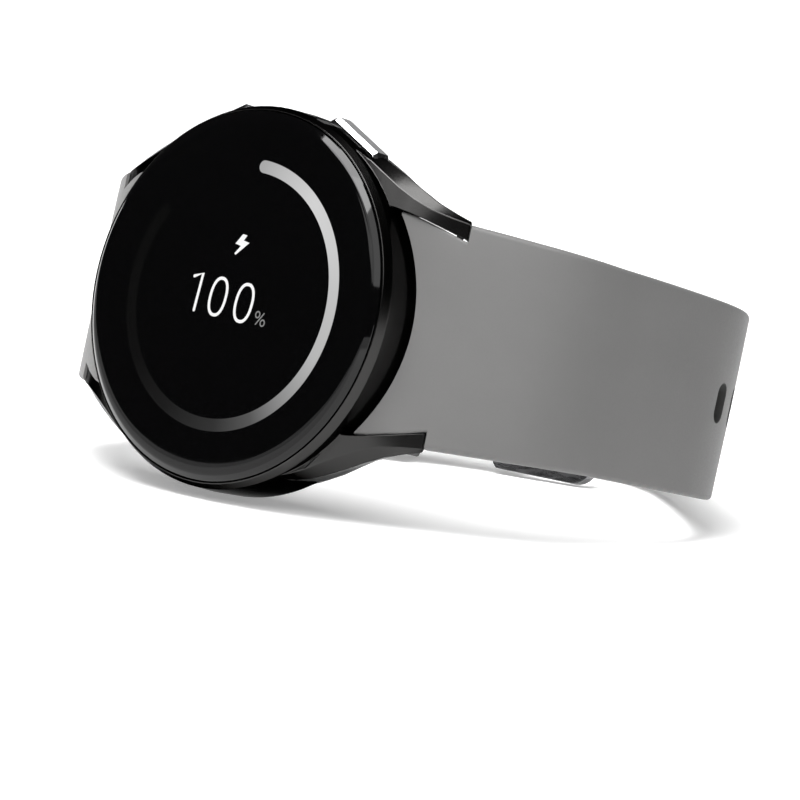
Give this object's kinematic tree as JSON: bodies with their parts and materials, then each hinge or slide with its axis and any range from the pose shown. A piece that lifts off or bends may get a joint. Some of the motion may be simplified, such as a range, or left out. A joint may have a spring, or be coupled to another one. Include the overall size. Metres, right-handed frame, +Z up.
{
  "type": "smartwatch",
  "caption": "Round smartwatch with side buttons on a silicone strap, lying on its side with the pin buckle undone.",
  "frame": {"origin": "the middle of the box's underside, on the surface the watch lies on", "axes": "+Z up; the display faces -Y, tipped up by 10 degrees; 3 o'clock, with both buttons, is up and 12 o'clock is towards -X"},
  "size_m": [0.0696, 0.0742, 0.0397],
  "materials": {
    "graphite_aluminium": "satin anodised, dark grey",
    "polished_aluminium": "polished",
    "steel": "fine brushed",
    "black_glass": "polished, black-backed",
    "grey_silicone": "smooth matte silicone",
    "black_plastic": "fine matte",
    "seal_rubber": "matte",
    "board_green": "solder mask",
    "battery_foil": "foil pouch",
    "copper": "enamelled copper winding"
  },
  "bodies": {
    "watch_head": {"back_button_seal": "seal_rubber", "back_cover": "black_plastic", "back_screw_1": "steel", "back_screw_2": "steel", "back_screw_3": "steel", "back_screw_4": "steel", "back_seal": "seal_rubber", "back_switch": "steel", "back_switch_board": "black_plastic", "battery": "battery_foil", "case_frame": "graphite_aluminium", "charging_coil": "copper", "display_flex": "black_plastic", "display_panel": "black_plastic", "electrode_lower": "steel", "electrode_upper": "steel", "ferrite_sheet": "black_plastic", "front_glass": "black_glass", "front_seal": "seal_rubber", "home_button_seal": "seal_rubber", "home_switch": "steel", "home_switch_board": "black_plastic", "inner_chassis": "black_plastic", "led_cluster": "steel", "main_board": "board_green", "microphone": "steel", "photodiode_1": "steel", "photodiode_2": "steel", "photodiode_3": "steel", "photodiode_4": "steel", "power_shield": "steel", "processor_shield": "steel", "sensor_board": "black_plastic", "sensor_window": "black_glass", "speaker": "black_plastic", "vibration_motor": "steel"},
    "home_button": {"home_button": "polished_aluminium"},
    "back_button": {"back_button": "polished_aluminium"},
    "slot_half": {"slot_band": "grey_silicone", "slot_bar_tube": "steel", "slot_fixed_pin": "steel"},
    "slot_release": {"slot_release_lever": "steel"},
    "buckle_half": {"buckle_band": "grey_silicone", "buckle_bar_tube": "steel", "buckle_fixed_pin": "steel", "buckle_bar": "steel"},
    "buckle_release": {"buckle_release_lever": "steel"},
    "buckle_frame": {"buckle_frame": "steel"},
    "buckle_tang": {"buckle_tang": "steel"},
    "keeper": {"keeper": "grey_silicone"}
  },
  "joints": [
    {"name": "home_press", "type": "slide", "parent": "watch_head", "child": "home_button", "axis": [0.454, -0.1555, -0.8773], "range_m": [0, 0.0003], "stiffness_N_per_m": 3000, "springref_m": -0.0002},
    {"name": "back_press", "type": "slide", "parent": "watch_head", "child": "back_button", "axis": [-0.454, -0.1555, -0.8773], "range_m": [0, 0.0003], "stiffness_N_per_m": 3000, "springref_m": -0.0002},
    {"name": "slot_hinge", "type": "hinge", "parent": "watch_head", "child": "slot_half", "pos_m": [0.02028, -0.02671, 0.01933], "axis": [0, -0.1745, -0.9847], "range_deg": [-2.5, 7.5]},
    {"name": "slot_release", "type": "slide", "parent": "slot_half", "child": "slot_release", "axis": [0, -0.1745, -0.9847], "range_m": [0, 0.0012], "stiffness_N_per_m": 300, "springref_m": -0.002},
    {"name": "buckle_hinge", "type": "hinge", "parent": "watch_head", "child": "buckle_half", "pos_m": [-0.02292, -0.02671, 0.01933], "axis": [0, 0.1745, 0.9847], "range_deg": [-5, 7.5]},
    {"name": "buckle_release", "type": "slide", "parent": "buckle_half", "child": "buckle_release", "axis": [0, -0.1745, -0.9847], "range_m": [0, 0.0012], "stiffness_N_per_m": 300, "springref_m": -0.002},
    {"name": "frame_turn", "type": "hinge", "parent": "buckle_half", "child": "buckle_frame", "pos_m": [-0.00544, 0.02099, 0.01088], "axis": [0, 0.1745, 0.9847], "range_deg": [-25, 12]},
    {"name": "tang_turn", "type": "hinge", "parent": "buckle_frame", "child": "buckle_tang", "pos_m": [-0.00544, 0.02099, 0.01088], "axis": [0, 0.1745, 0.9847], "range_deg": [0, 60]},
    {"name": "keeper_slide", "type": "slide", "parent": "buckle_half", "child": "keeper", "axis": [0.8846, 0.4592, -0.0814], "range_m": [-0.0028, 0.0028]}
  ]
}
